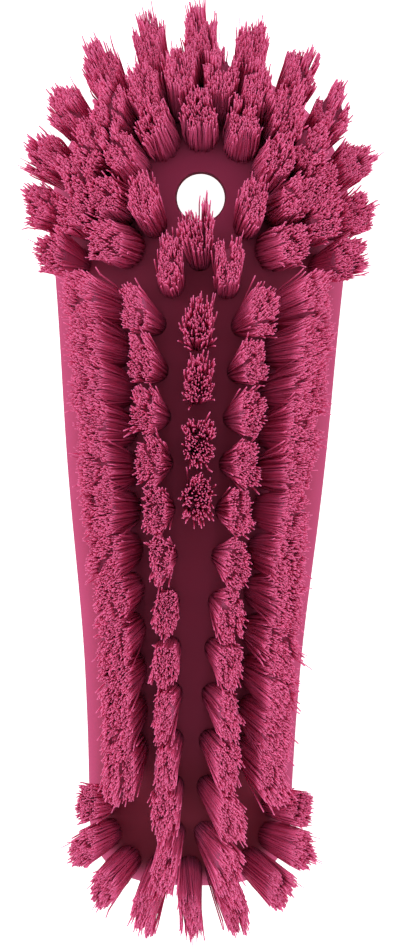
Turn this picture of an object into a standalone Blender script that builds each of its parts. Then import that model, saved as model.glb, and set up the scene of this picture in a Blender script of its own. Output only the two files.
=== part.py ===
"""Hand scrub brush with a pear-shaped, one-piece block, lying on its back with the bristles up.

Metres, +Z up. The origin is midway along the block, on the flat pad on the crown of the grip, which
the brush rests on. +Y points to the round head, which has the hanging hole, and -Y to the tail.
"""

import math
import random

import bmesh
import bpy
from mathutils import Matrix, Vector

# Plan of the block
BLOCK_LENGTH = 0.228
HEAD_RADIUS = 0.0415
TAIL_HALF_WIDTH = 0.0282
TAIL_ROUNDING_LENGTH = 0.026
TAIL_SQUARENESS = 3.0
FLANK_SLOPE_AT_HEAD = 0.085
FLANK_SLOPE_AT_TAIL = 0.03

# Bristle face: its crown, how far it bows down to both ends, and its fall to the rim
FACE_HEIGHT = 0.032
FACE_BOW = 0.0025
EDGE_DROP = 0.0068
EDGE_DROP_AT_ENDS = 0.0085
EDGE_ROUNDNESS = 2.2

# Grip moulded into the back
PAD_HALF_WIDTH = 0.0095
PAD_FRONT = 0.030
PAD_REAR = 0.040
GRIP_FRONT = 0.009
GRIP_REAR = 0.030
HEAD_BLEND = 0.070
TAIL_BLEND = 0.065
SCOOP_HEIGHT = 0.013
SCOOP_HALF_WIDTH = 0.0226
NOSE_THICKNESS = 0.019
LIP_THICKNESS = 0.0085

# Hanging hole through the head
HOLE_RADIUS = 0.00665
HOLE_SETBACK = 0.0366
HOLE_CHAMFER = 0.0008
HOLE_RUN_OUT = 0.003
HOLE_SIDES = 28

# Slices of backing that hold the tufts, and their seats in the block
BACKING_HALF_WIDTH = 0.0027
BACKING_DEPTH = 0.003
BACKING_END = 0.0033
SEAT_CLEARANCE = 0.0003
SEAT_WALL = 0.0012
SEAT_OPENING = 0.002

# Tufts and their strands
BRISTLE_LENGTH = 0.028
EDGE_BRISTLE_LENGTH = 0.025
STRANDS = 4
STRAND_SIDES = 3
STRAND_ROOT_RADIUS = 0.001
STRAND_TIP_RADIUS = 0.0017
STRAND_SPREAD = 0.0018
STRAND_EMBED = 0.0016
CROSS_SPLAY = math.radians(2.8)
ROW_LONG_SPLAY = math.radians(7)
TUFT_UNEVENNESS = math.radians(1.5)
LENGTH_UNEVENNESS = 0.0007

# Rings of tufts round the head and the tail
EDGE_RING_INSET = 0.005
HEAD_EDGE_TUFTS = 13
HEAD_EDGE_SPREAD = math.radians(113)
HEAD_SECOND_TUFTS = 12
HEAD_SECOND_SPREAD = math.radians(97)
HEAD_THIRD_TUFTS = 9
HEAD_THIRD_SPREAD = math.radians(116)
TAIL_EDGE_TUFTS = 9
TAIL_EDGE_SPREAD = math.radians(84)

# How far the tufts of a ring lean at the brush's end and at its side, and the angle where the side begins
EDGE_LEANS = (math.radians(34), math.radians(19))
SECOND_LEANS = (math.radians(22), math.radians(13))
THIRD_LEANS = (math.radians(14), math.radians(13))
SIDE_ANGLE = math.radians(112)

# How far they splay the way that they lean, and the share of their angle round the ring that they head for
EDGE_LONG_SPLAY = math.radians(5)
RING_LONG_SPLAY = math.radians(2.8)
HEAD_TURN = 0.68
TAIL_TURN = 0.52

# Two tufts on each side of the hanging hole. The first stands inside the third ring, the second beside the
# centre row, and both stand behind the hole's centre. A fan radius is how far below the face its tufts,
# drawn out, would meet over the middle of the block.
FIRST_HOLE_TUFT_INSET = 0.0093
FIRST_HOLE_TUFT_SETBACK = 0.0079
FIRST_HOLE_TUFT_FAN_RADIUS = 0.147
SECOND_HOLE_TUFT_OFFSET = 0.0076
SECOND_HOLE_TUFT_SETBACK = 0.0244
SECOND_HOLE_TUFT_FAN_RADIUS = 0.217

# Centre row: one tuft behind the hanging hole and, after a break, the others
CENTRE_ROW_TUFTS = 5
CENTRE_ROW_GAP = 0.0105
CENTRE_ROW_BREAK = 0.0075
CENTRE_ROW_PITCH = 0.0147

# Rows along the flanks. They start behind the head's centre, and their taper is the share of the block's
# own taper that they follow.
INNER_ROW_HALF_GAP = 0.0020
INNER_ROW_SETBACK = 0.0305
INNER_ROW_PITCH = 0.0128
INNER_ROW_TAPER = 0.68
INNER_ROW_FAN_RADIUS = 0.098
INNER_ROW_GAP_AT_TAIL = 0.004
EDGE_ROW_SPACING_AT_TAIL = 0.0105
EDGE_ROW_SETBACK = 0.0270
EDGE_ROW_PITCH = 0.0108
EDGE_ROW_TAPER = 0.57
EDGE_ROW_FAN_RADIUS = 0.048
EDGE_ROW_GAP_AT_TAIL = 0.0125

# All straight rows also fan out lengthwise
LONG_FAN_RADIUS = 0.265

# What follows from these
HEAD_TIP = BLOCK_LENGTH / 2
TAIL_TIP = -BLOCK_LENGTH / 2
HEAD_CENTRE = HEAD_TIP - HEAD_RADIUS
TAIL_CENTRE = TAIL_TIP + TAIL_ROUNDING_LENGTH
HEAD_TANGENT = math.atan(FLANK_SLOPE_AT_HEAD)
FLANK_START = Vector((0, HEAD_CENTRE))
FLANK_START += HEAD_RADIUS * Vector((math.cos(HEAD_TANGENT), -math.sin(HEAD_TANGENT)))
HOLE_CENTRE = HEAD_TIP - HOLE_SETBACK
SEAT_PITCH = 2 * (BACKING_HALF_WIDTH + SEAT_CLEARANCE) + SEAT_WALL
INNER_ROW_AT_TAIL = BACKING_HALF_WIDTH + SEAT_CLEARANCE + INNER_ROW_HALF_GAP
EDGE_ROW_AT_TAIL = INNER_ROW_AT_TAIL + EDGE_ROW_SPACING_AT_TAIL
INNER_ROW_END = TAIL_TIP + EDGE_RING_INSET + BACKING_HALF_WIDTH + INNER_ROW_GAP_AT_TAIL + BACKING_END
EDGE_ROW_END = TAIL_CENTRE + EDGE_ROW_GAP_AT_TAIL

MERGE_DISTANCE = 1e-6

# Where the sections of the face lie, from the block's outline to its spine
FACE_SECTIONS = (0.985, 0.95, 0.88, 0.74, 0.5, 0.24, 0.0)

BLOCK_PINK = (0.52, 0.072, 0.180)
BLOCK_ROUGHNESS = 0.42
BRISTLE_PINK = (0.47, 0.052, 0.135)
BRISTLE_ROUGHNESS = 0.55


def blend(a, b, share):
    return a + (b - a) * share


def smooth_step(value):
    value = min(max(value, 0.0), 1.0)
    return value * value * (3 - 2 * value)


def flank_x(y):
    """Half the width between the head's tangent and the tail's rounding: a cubic with both end slopes."""
    length = FLANK_START.y - TAIL_CENTRE
    share = (FLANK_START.y - y) / length
    square, cube = share**2, share**3
    return (
        (2 * cube - 3 * square + 1) * FLANK_START.x
        - (cube - 2 * square + share) * FLANK_SLOPE_AT_HEAD * length
        + (3 * square - 2 * cube) * TAIL_HALF_WIDTH
        - (cube - square) * FLANK_SLOPE_AT_TAIL * length
    )


def half_width(y):
    """Half the block's width at y."""
    if y > FLANK_START.y:
        return math.sqrt(max(HEAD_RADIUS**2 - (y - HEAD_CENTRE) ** 2, 0.0))
    if y < TAIL_CENTRE:
        reach = min((TAIL_CENTRE - y) / TAIL_ROUNDING_LENGTH, 1.0)
        return TAIL_HALF_WIDTH * (1 - reach**TAIL_SQUARENESS) ** (1 / TAIL_SQUARENESS)
    return flank_x(y)


def outline():
    """The block's plan, clockwise from the tip of the head."""
    head_steps, flank_steps, tail_steps = 11, 12, 8
    right = []
    for step in range(head_steps):
        angle = (math.pi / 2 + HEAD_TANGENT) * step / head_steps
        right.append(Vector((HEAD_RADIUS * math.sin(angle), HEAD_CENTRE + HEAD_RADIUS * math.cos(angle))))
    for step in range(flank_steps):
        y = blend(FLANK_START.y, TAIL_CENTRE, step / flank_steps)
        right.append(Vector((flank_x(y), y)))
    for step in range(tail_steps + 1):
        angle = math.pi / 2 * step / tail_steps
        across = max(math.cos(angle), 0.0) ** (2 / TAIL_SQUARENESS)
        along = math.sin(angle) ** (2 / TAIL_SQUARENESS)
        right.append(Vector((TAIL_HALF_WIDTH * across, TAIL_CENTRE - TAIL_ROUNDING_LENGTH * along)))
    left = [Vector((-point.x, point.y)) for point in reversed(right[1:-1])]
    return right + left


def spine_point(point):
    """The point of the block's spine that the face slopes away from on the way to a point of the plan."""
    return Vector((0, min(max(point.y, TAIL_CENTRE), HEAD_CENTRE)))


def nearness_to_edge(x, y):
    """0 on the spine of the face and 1 on the block's outline."""
    if y > HEAD_CENTRE:
        return math.hypot(x, y - HEAD_CENTRE) / HEAD_RADIUS
    if y < TAIL_CENTRE:
        across = abs(x) / TAIL_HALF_WIDTH
        along = (TAIL_CENTRE - y) / TAIL_ROUNDING_LENGTH
        return (across**TAIL_SQUARENESS + along**TAIL_SQUARENESS) ** (1 / TAIL_SQUARENESS)
    return abs(x) / half_width(y)


def endness(y):
    """0 along the grip, rising to 1 towards the head and the tail."""
    return max(smooth_step((y - GRIP_FRONT) / HEAD_BLEND), smooth_step((-GRIP_REAR - y) / TAIL_BLEND))


def crown_height(y):
    """Height of the face along its spine."""
    return FACE_HEIGHT - FACE_BOW * (y / HEAD_TIP) ** 2


def rim_height(y):
    """Height of the widest line round the block, where its face meets its back."""
    return crown_height(y) - blend(EDGE_DROP, EDGE_DROP_AT_ENDS, endness(y))


def face_height(x, y):
    """Height of the domed bristle face."""
    near = min(nearness_to_edge(x, y), 1.0)
    return blend(rim_height(y), crown_height(y), (1 - near**EDGE_ROUNDNESS) ** (1 / EDGE_ROUNDNESS))


def pad_point(edge):
    """The point of the flat crown pad that lies opposite a point of the outline."""
    share = (spine_point(edge).y - TAIL_CENTRE) / (HEAD_CENTRE - TAIL_CENTRE)
    middle = Vector((0, blend(PAD_HALF_WIDTH - PAD_REAR, PAD_FRONT - PAD_HALF_WIDTH, share)))
    return middle + (edge - spine_point(edge)).normalized() * PAD_HALF_WIDTH


def back_levels():
    """The sections of the back between the pad and the rim.

    Each has the way out from the pad to the outline and the share of the rim's height: first across
    the grip with its finger scoops, and then towards the head and the tail, which are thinner.
    """
    scoop = SCOOP_HEIGHT / (FACE_HEIGHT - EDGE_DROP)
    scoop_way = (SCOOP_HALF_WIDTH - PAD_HALF_WIDTH) / (half_width(0) - PAD_HALF_WIDTH)
    end_rim = FACE_HEIGHT - FACE_BOW - EDGE_DROP_AT_ENDS
    nose = 1 - (NOSE_THICKNESS - EDGE_DROP_AT_ENDS) / end_rim
    lip = 1 - LIP_THICKNESS / end_rim
    return [
        ((scoop_way * 0.36, scoop * 0.06), (0.14, nose * 0.18)),
        ((scoop_way * 0.70, scoop * 0.25), (0.30, nose * 0.52)),
        ((scoop_way * 0.91, scoop * 0.58), (0.46, nose * 0.84)),
        ((scoop_way, scoop), (0.62, nose)),
        ((blend(scoop_way, 1, 0.12), blend(scoop, 1, 0.32)), (0.78, blend(nose, lip, 0.50))),
        ((blend(scoop_way, 1, 0.46), blend(scoop, 1, 0.56)), (0.90, blend(nose, lip, 0.80))),
        ((blend(scoop_way, 1, 0.80), blend(scoop, 1, 0.68)), (0.965, lip)),
        ((blend(scoop_way, 1, 0.96), blend(scoop, 1, 0.84)), (0.993, blend(lip, 1, 0.42))),
        ((1.0, 1.0), (1.0, 1.0)),
    ]


def back_height_at_hole():
    """Height of the back on the block's spine where the hanging hole comes out."""
    way = (HOLE_CENTRE - PAD_FRONT) / (HEAD_TIP - PAD_FRONT)
    ends = [(0.0, 0.0)] + [end for grip, end in back_levels()]
    for (low, low_rise), (high, high_rise) in zip(ends, ends[1:]):
        if low <= way <= high:
            return rim_height(HEAD_TIP) * blend(low_rise, high_rise, (way - low) / (high - low))
    return 0.0


def new_material(name, colour, roughness):
    made = bpy.data.materials.new(name)
    made.use_nodes = True
    shader = made.node_tree.nodes["Principled BSDF"]
    shader.inputs["Base Color"].default_value = (*colour, 1)
    shader.inputs["Roughness"].default_value = roughness
    shader.inputs["Metallic"].default_value = 0
    return made


def new_object(name, bm, collection, material=None):
    """Turns a bmesh into an object. One without a material is a cutter or a guide."""
    bmesh.ops.recalc_face_normals(bm, faces=bm.faces)
    mesh = bpy.data.meshes.new(name)
    bm.to_mesh(mesh)
    bm.free()
    mesh.shade_smooth()
    mesh.set_sharp_from_angle(angle=math.radians(35))
    made = bpy.data.objects.new(name, mesh)
    collection.objects.link(made)
    if material:
        mesh.materials.append(material)
    else:
        made.hide_render = True
        made.display_type = "WIRE"
    return made


def block_rings():
    """The block's sections from the crown pad, round the rim and over the face to its spine."""
    edges = outline()
    rings = [[(*pad_point(edge), 0.0) for edge in edges]]
    for grip, end in back_levels():
        ring = []
        for edge in edges:
            share = endness(edge.y)
            place = pad_point(edge).lerp(edge, blend(grip[0], end[0], share))
            ring.append((*place, rim_height(edge.y) * blend(grip[1], end[1], share)))
        rings.append(ring)
    for near in FACE_SECTIONS:
        places = [spine_point(edge).lerp(edge, near) for edge in edges]
        rings.append([(*place, face_height(*place)) for place in places])
    return rings


def build_block(parts, seats, material):
    """The moulded block, with the hanging hole and the seats of the tuft rows cut from it."""
    bm = bmesh.new()
    loops = [[bm.verts.new(point) for point in ring] for ring in block_rings()]
    bm.faces.new(loops[0])
    for lower, upper in zip(loops, loops[1:]):
        for i in range(len(lower)):
            bm.faces.new((lower[i - 1], lower[i], upper[i], upper[i - 1]))
    bmesh.ops.remove_doubles(bm, verts=bm.verts, dist=MERGE_DISTANCE)
    block = new_object("brush_block", bm, parts, material)
    cut = block.modifiers.new("hole_and_seats", "BOOLEAN")
    cut.operand_type = "COLLECTION"
    cut.collection = seats
    return block


def build_hole_cutter(seats):
    """The hanging hole: a turned cutter that flares out through the domed face and the sloping back."""
    face = face_height(0, HOLE_CENTRE)
    back = back_height_at_hole()
    flare = HOLE_RADIUS + HOLE_CHAMFER + HOLE_RUN_OUT
    profile = [
        (0.0, face + HOLE_RUN_OUT),
        (flare, face + HOLE_RUN_OUT),
        (HOLE_RADIUS, face - HOLE_CHAMFER),
        (HOLE_RADIUS, back + HOLE_CHAMFER),
        (flare, back - HOLE_RUN_OUT),
        (0.0, back - HOLE_RUN_OUT),
    ]
    bm = bmesh.new()
    points = [bm.verts.new((x, 0, z)) for x, z in profile]
    for first, second in zip(points, points[1:]):
        bm.edges.new((first, second))
    cutter = new_object("hanging_hole", bm, seats)
    cutter.location.y = HOLE_CENTRE
    turn = cutter.modifiers.new("turn", "SCREW")
    turn.steps = HOLE_SIDES
    turn.render_steps = HOLE_SIDES
    turn.use_merge_vertices = True
    turn.merge_threshold = MERGE_DISTANCE


def build_band(name, path, half_band, above, below, collection, material=None):
    """A slice of the block along a path on its face, with upright walls, from above the face to below it."""
    bm = bmesh.new()
    rows = []
    for index, point in enumerate(path):
        ahead = path[min(index + 1, len(path) - 1)] - path[max(index - 1, 0)]
        across = Vector((ahead.y, -ahead.x)).normalized() * half_band
        places = (point - across, point + across)
        rows.append([bm.verts.new((*place, face_height(*place) + above)) for place in places])
    top = [bm.faces.new((*first, *reversed(second))) for first, second in zip(rows, rows[1:])]
    grown = bmesh.ops.extrude_face_region(bm, geom=top)
    lower = [part for part in grown["geom"] if isinstance(part, bmesh.types.BMVert)]
    bmesh.ops.translate(bm, vec=(0, 0, -above - below), verts=lower)
    return new_object(name, bm, collection, material)


def tuft_axes(heading, lean, long_heading):
    """A tuft's axis and the long and the short way across it. Headings turn from +Y to +X."""
    axis = Matrix.Rotation(-heading, 3, "Z") @ Matrix.Rotation(-lean, 3, "X") @ Vector((0, 0, 1))
    long_way = Vector((math.sin(long_heading), math.cos(long_heading), 0))
    long_way = (long_way - axis * long_way.dot(axis)).normalized()
    return axis, long_way, long_way.cross(axis)


def add_tuft(bm, tuft, length, long_splay, chance):
    """Adds a tuft's strands, which splay from its root."""
    root, heading, lean, long_heading = tuft
    base = Vector((*root, face_height(*root)))
    lean += chance.uniform(-1, 1) * TUFT_UNEVENNESS
    axis, long_way, short_way = tuft_axes(heading, lean, long_heading)
    for strand in range(STRANDS):
        turn = 2 * math.pi * (strand + 0.5) / STRANDS
        along, across = long_way * math.cos(turn), short_way * math.sin(turn)
        direction = (axis + along * math.tan(long_splay) + across * math.tan(CROSS_SPLAY)).normalized()
        start = base + (along + across) * STRAND_SPREAD - direction * STRAND_EMBED
        reach = STRAND_EMBED + length + chance.uniform(-1, 1) * LENGTH_UNEVENNESS
        bmesh.ops.create_cone(
            bm,
            cap_ends=True,
            segments=STRAND_SIDES,
            radius1=STRAND_ROOT_RADIUS,
            radius2=STRAND_TIP_RADIUS,
            depth=reach,
            matrix=Matrix.LocRotScale(start + direction * reach / 2, direction.to_track_quat("Z", "Y"), None),
        )


def build_row(name, path, tufts, length, long_splay, collections, material):
    """One row of tufts fused to its slice of backing, and the cutter for the row's seat in the block."""
    parts, seats, guides = collections
    backing = build_band(name, path, BACKING_HALF_WIDTH, 0, BACKING_DEPTH, parts, material)
    chance = random.Random(name)
    bm = bmesh.new()
    for tuft in tufts:
        add_tuft(bm, tuft, length, long_splay, chance)
    fuse = backing.modifiers.new("strands", "BOOLEAN")
    fuse.operation = "UNION"
    fuse.object = new_object(name + "_strands", bm, guides)

    first = path[0] + (path[0] - path[1]).normalized() * SEAT_CLEARANCE
    last = path[-1] + (path[-1] - path[-2]).normalized() * SEAT_CLEARANCE
    seat_path = [first, *path[1:-1], last]
    below = BACKING_DEPTH + SEAT_CLEARANCE
    build_band(name + "_seat", seat_path, BACKING_HALF_WIDTH + SEAT_CLEARANCE, SEAT_OPENING, below, seats)


def head_ring(inset):
    """A ring round the head, as a function from the angle off its tip to a place and a heading there."""

    def at(angle):
        away = Vector((math.sin(angle), math.cos(angle)))
        return Vector((0, HEAD_CENTRE)) + away * (HEAD_RADIUS - inset), HEAD_TURN * angle

    return at


def tail_ring(inset):
    """The same round the tail, whose outline is squarer."""

    def at(angle):
        away = Vector((math.sin(angle), -math.cos(angle)))
        edge = nearness_to_edge(away.x, TAIL_CENTRE - max(math.cos(angle), 0.0))
        return Vector((0, TAIL_CENTRE)) + away * (1 / edge - inset), math.pi - TAIL_TURN * angle

    return at


def ring_rows(ring, count, spread, leans):
    """A ring's path and tufts, shared among three rows: left, middle and right."""
    angles = [blend(-spread, spread, index / (count - 1)) for index in range(count)]
    side = count // 3
    rows = []
    for own in (angles[:side], angles[side : count - side], angles[count - side :]):
        radius = (ring(own[0])[0] - ring(own[-1])[0]).length / (2 * math.sin((own[-1] - own[0]) / 2))
        margin = BACKING_END / radius
        steps = 2 * (len(own) - 1)
        path = [ring(blend(own[0] - margin, own[-1] + margin, step / steps))[0] for step in range(steps + 1)]
        tufts = []
        for angle in own:
            root, heading = ring(angle)
            endward = 0.5 + 0.5 * math.cos(math.pi * min(abs(angle) / SIDE_ANGLE, 1.0))
            tufts.append((root, heading, blend(leans[1], leans[0], endward), heading))
        rows.append((path, tufts))
    return rows


def fanned(root, fan_radius):
    """A tuft of a straight row, longer along the block. It leans outward and away from the block's middle."""
    across = root.x / fan_radius
    along = root.y / LONG_FAN_RADIUS
    return root, math.atan2(across, along), math.atan(math.hypot(across, along)), 0.0


def path_along(roots):
    """A path through the tufts of a row that runs on past its first and its last."""
    first = roots[0] + (roots[0] - roots[1]).normalized() * BACKING_END
    last = roots[-1] + (roots[-1] - roots[-2]).normalized() * BACKING_END
    return [first, *roots, last]


def flank_row(front, rear, pitch, at_tail, taper, fan_radius):
    """A row along a flank, in a front and a rear half: paths and tufts on the right-hand side."""
    count = round((front - rear) / pitch) + 1
    ys = [blend(front, rear, index / (count - 1)) for index in range(count)]
    roots = [Vector((at_tail + taper * (half_width(y) - TAIL_HALF_WIDTH), y)) for y in ys]
    half = (count + 1) // 2
    halves = (roots[:half], roots[half:])
    return [(path_along(own), [fanned(root, fan_radius) for root in own]) for own in halves]


def mirrored(row):
    """The same row on the left-hand side."""
    path, tufts = row
    return (
        [Vector((-point.x, point.y)) for point in path],
        [(Vector((-root.x, root.y)), -heading, lean, -long) for root, heading, lean, long in tufts],
    )


def build_rings(collections, material):
    edge = head_ring(EDGE_RING_INSET)
    second = head_ring(EDGE_RING_INSET + SEAT_PITCH)
    third = head_ring(EDGE_RING_INSET + 2 * SEAT_PITCH)
    tail = tail_ring(EDGE_RING_INSET)
    edge_layout = (edge, HEAD_EDGE_TUFTS, HEAD_EDGE_SPREAD, EDGE_LEANS)
    second_layout = (second, HEAD_SECOND_TUFTS, HEAD_SECOND_SPREAD, SECOND_LEANS)
    third_layout = (third, HEAD_THIRD_TUFTS, HEAD_THIRD_SPREAD, THIRD_LEANS)
    tail_layout = (tail, TAIL_EDGE_TUFTS, TAIL_EDGE_SPREAD, EDGE_LEANS)
    rings = (
        ("head_edge_tufts", EDGE_BRISTLE_LENGTH, EDGE_LONG_SPLAY, edge_layout),
        ("head_second_tufts", BRISTLE_LENGTH, RING_LONG_SPLAY, second_layout),
        ("head_third_tufts", BRISTLE_LENGTH, RING_LONG_SPLAY, third_layout),
        ("tail_edge_tufts", EDGE_BRISTLE_LENGTH, EDGE_LONG_SPLAY, tail_layout),
    )
    for name, length, long_splay, layout in rings:
        for side, (path, tufts) in zip(("left", "middle", "right"), ring_rows(*layout)):
            build_row(f"{name}_{side}", path, tufts, length, long_splay, collections, material)


def centre_row():
    first = HOLE_CENTRE - HOLE_RADIUS - CENTRE_ROW_GAP
    roots = [Vector((0, first))]
    for index in range(1, CENTRE_ROW_TUFTS):
        roots.append(Vector((0, first - CENTRE_ROW_BREAK - index * CENTRE_ROW_PITCH)))
    return path_along(roots), [fanned(root, LONG_FAN_RADIUS) for root in roots]


def hole_row():
    """The two tufts on the right of the hanging hole."""
    beside_hole = HEAD_RADIUS - EDGE_RING_INSET - 2 * SEAT_PITCH - FIRST_HOLE_TUFT_INSET
    first = Vector((beside_hole, HOLE_CENTRE - FIRST_HOLE_TUFT_SETBACK))
    second = Vector((SECOND_HOLE_TUFT_OFFSET, HOLE_CENTRE - SECOND_HOLE_TUFT_SETBACK))
    tufts = [fanned(first, FIRST_HOLE_TUFT_FAN_RADIUS), fanned(second, SECOND_HOLE_TUFT_FAN_RADIUS)]
    return path_along([first, second]), tufts


def inner_row():
    front = HEAD_CENTRE - INNER_ROW_SETBACK
    layout = (INNER_ROW_PITCH, INNER_ROW_AT_TAIL, INNER_ROW_TAPER, INNER_ROW_FAN_RADIUS)
    return flank_row(front, INNER_ROW_END, *layout)


def edge_row():
    front = HEAD_CENTRE - EDGE_ROW_SETBACK
    layout = (EDGE_ROW_PITCH, EDGE_ROW_AT_TAIL, EDGE_ROW_TAPER, EDGE_ROW_FAN_RADIUS)
    return flank_row(front, EDGE_ROW_END, *layout)


def build_straight_rows(collections, material):
    rows = {"centre_row_tufts": centre_row()}
    right_rows = {"hole_tufts": hole_row()}
    for name, halves in (("inner_row_tufts", inner_row()), ("edge_row_tufts", edge_row())):
        for half, row in zip(("front", "rear"), halves):
            right_rows[f"{name}_{half}"] = row
    for name, row in right_rows.items():
        rows[name + "_right"] = row
        rows[name + "_left"] = mirrored(row)
    for name, (path, tufts) in rows.items():
        build_row(name, path, tufts, BRISTLE_LENGTH, ROW_LONG_SPLAY, collections, material)


def main():
    for existing in list(bpy.data.objects):
        bpy.data.objects.remove(existing)
    collections = []
    for name in ("scrub_brush", "hole_and_seat_cutters", "strand_guides"):
        collections.append(bpy.data.collections.new(name))
        bpy.context.scene.collection.children.link(collections[-1])
    parts, seats, _ = collections
    build_hole_cutter(seats)
    build_block(parts, seats, new_material("moulded_block", BLOCK_PINK, BLOCK_ROUGHNESS))
    bristles = new_material("bristle", BRISTLE_PINK, BRISTLE_ROUGHNESS)
    build_rings(collections, bristles)
    build_straight_rows(collections, bristles)


main()
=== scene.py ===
"""Looks of the hand scrub brush: a smooth moulded block with drilled tuft holes, and tufts of single
filaments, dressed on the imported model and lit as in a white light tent.

Metres, +Z up, +Y towards the round head. The brush lies on the flat pad of its grip.
"""

import math
import random
from collections import namedtuple
from contextlib import contextmanager

import bpy
import numpy as np
from mathutils import Matrix, Vector


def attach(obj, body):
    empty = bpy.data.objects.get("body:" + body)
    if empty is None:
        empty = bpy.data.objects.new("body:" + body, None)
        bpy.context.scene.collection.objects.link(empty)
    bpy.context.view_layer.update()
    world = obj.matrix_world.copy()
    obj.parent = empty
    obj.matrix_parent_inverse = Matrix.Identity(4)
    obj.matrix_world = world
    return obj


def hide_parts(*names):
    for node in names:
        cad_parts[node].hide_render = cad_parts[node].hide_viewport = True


# Plan of the block
BLOCK_LENGTH = 0.228
HEAD_RADIUS = 0.0415
TAIL_HALF_WIDTH = 0.0282
TAIL_ROUNDING_LENGTH = 0.026
TAIL_SQUARENESS = 3.0
FLANK_SLOPE_AT_HEAD = 0.085
FLANK_SLOPE_AT_TAIL = 0.03

# The waist of the real block is a little fuller than the flank's curve, which the tufts follow
WAIST_FULLNESS = 0.0009
WAIST_FRONT = 0.052
WAIST_REAR = -0.056

# Bristle face: its crown, how far it bows down to both ends, and its fall to the rim
FACE_HEIGHT = 0.032
FACE_BOW = 0.0025
EDGE_DROP = 0.0068
EDGE_DROP_AT_ENDS = 0.0085
EDGE_ROUNDNESS = 2.2

# Grip moulded into the back
PAD_HALF_WIDTH = 0.0095
PAD_FRONT = 0.030
PAD_REAR = 0.040
GRIP_FRONT = 0.009
GRIP_REAR = 0.030
HEAD_BLEND = 0.070
TAIL_BLEND = 0.065
SCOOP_HEIGHT = 0.013
SCOOP_HALF_WIDTH = 0.0226
NOSE_THICKNESS = 0.019
LIP_THICKNESS = 0.0085

# Hanging hole: it narrows from both sides to its middle and its edges are rounded. The last height is that
# of the back round it.
HANGING_HOLE_RADIUS = 0.00665
HANGING_HOLE_SETBACK = 0.0366
HANGING_HOLE_DRAFT = 0.0004
HANGING_HOLE_EDGE = 0.0004
HANGING_HOLE_EDGE_STEPS = 4
HANGING_HOLE_SIDES = 64
HANGING_HOLE_BACK = 0.0100

# Tuft holes
TUFT_HOLE_RADIUS = 0.0033
TUFT_HOLE_DEPTH = 0.008
TUFT_HOLE_SIDES = 20

# How far a cutter stands out of the surface that it cuts
CUTTER_EXCESS = 0.003

# The block's mesh: its steps from the pad to the rim and from there to the spine of the face, the distance
# within which points are merged, and the sharpest bend that is shaded smooth
BACK_STEPS = 36
FACE_STEPS = 20
MERGE_DISTANCE = 1e-6
SMOOTH_ANGLE = math.radians(32)

# The face gets painted shade among its tufts, standing for the shade they cast on it, but not round the
# hanging hole or by its margin. Where it has it across the face, and the fade there, are shares of the way
# from its spine to its outline. It sets in over a length behind the hole, is weaker along the flanks, and
# grows to full over a length ahead of the tail.
PAINTED_SHADE_FROM = 0.35
PAINTED_SHADE_TO = 0.97
PAINTED_SHADE_FADE = 0.20
PAINTED_SHADE_BEHIND_HOLE = 0.022
PAINTED_SHADE_ALONG = 0.62
PAINTED_SHADE_TAIL = 0.022

# Filaments: thin tubes with a few rings, which are shifted towards their ends by up to a share of their
# length, and with worn tips. A little of each is hidden in the block.
# Most are trimmed level, some stand out, and single thin ones stand out far.
FILAMENT_RADIUS = 0.00024
FILAMENT_SIDES = 4
FILAMENT_CUTS = 3
FILAMENT_RING_SHIFT = 0.11
FILAMENT_EMBED = 0.003
WORN_TIP = 0.72
TRIM_UNEVENNESS = 0.0004
STRAY_SHARE = 0.05
STRAY_REACH = (0.0008, 0.0030)
THIN_STRAY_SHARE = 0.006
THIN_STRAY_REACH = (0.003, 0.007)
THIN_STRAY_RADIUS = 0.00014

# Tufts: round where they leave the block, and at their tips squarer and longer along it, because the
# filaments are folded over flat anchors that are all driven in the same way round. They gather in clumps,
# which end unevenly.
TUFT_RADIUS = 0.0031
PATCH_SQUARENESS = 5
CLUMPS = 9
CLUMP_PULL = 0.10
CLUMP_SHIFT = 0.00050
CLUMP_UNEVENNESS = 0.0007
SHORTEST_CLUMP = -0.0009
TIP_SCATTER = 0.00026
CRIMP = 0.00022
CROSS_CRIMP = CRIMP / 2
CRIMP_LENGTH = 0.0060

# How far loose filaments reach past the patch, and how far a tuft's lean and heading and a filament's turn
# round its tuft are off
LOOSE_REACH = (1.05, 1.45)
LEAN_JITTER = math.radians(1.2)
HEADING_JITTER = math.radians(2.5)
TURN_JITTER = 0.15

# The share of a tuft's own lean in the plane that its tips are trimmed to, which is level for the rest
TRIM_TILT = 0.25

# The inside of a tuft, where the filaments stand so close that they show as one fluted body: its share of
# the tuft's width, the depth of its flutes as a share of that, the painted shade up its side and on its top,
# which makes it darker than any filament and stands for the shade deep in the tuft, and how suddenly the
# one goes over into the other
CORE_SHARE = 0.86
CORE_FLUTING = 0.06
CORE_SIDE_SHADE = -0.1
CORE_TOP_SHADE = -1.7
CORE_TOP_SHARPNESS = 6
CORE_SIDES = 36
CORE_CUTS = 6

# Filaments in a tuft, half the length and half the width of the patch of tips, how far the tuft bulges on
# its way there, the share of filaments that stray sideways, how uneven its clumps are, how far below the
# tips the core ends, and the share that the tuft has of the brush's set to one side. The worn tufts are the
# sparse ones at the top of the third ring.
SHAPE_VALUES = "filaments half_length half_width bulge loose ragged core_depth set_share"
TuftShape = namedtuple("TuftShape", SHAPE_VALUES)
HEAD_EDGE_SHAPE = TuftShape(450, 0.0056, 0.0040, 0.18, 0.04, 1.6, 0.0034, 1.0)
SECOND_SHAPE = TuftShape(450, 0.0056, 0.0041, 0.36, 0.10, 1.2, 0.0036, 1.0)
THIRD_SHAPE = TuftShape(450, 0.0050, 0.0040, 0.62, 0.12, 1.2, 0.0038, 1.0)
WORN_SHAPE = TuftShape(300, 0.0046, 0.0038, 0.60, 0.22, 1.5, 0.0080, 1.0)
TAIL_SHAPE = TuftShape(420, 0.0050, 0.0027, 0.22, 0.04, 1.0, 0.0034, 0.35)
HOLE_SHAPE = TuftShape(400, 0.0058, 0.0034, 0.20, 0.12, 1.0, 0.0036, 1.0)
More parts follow.
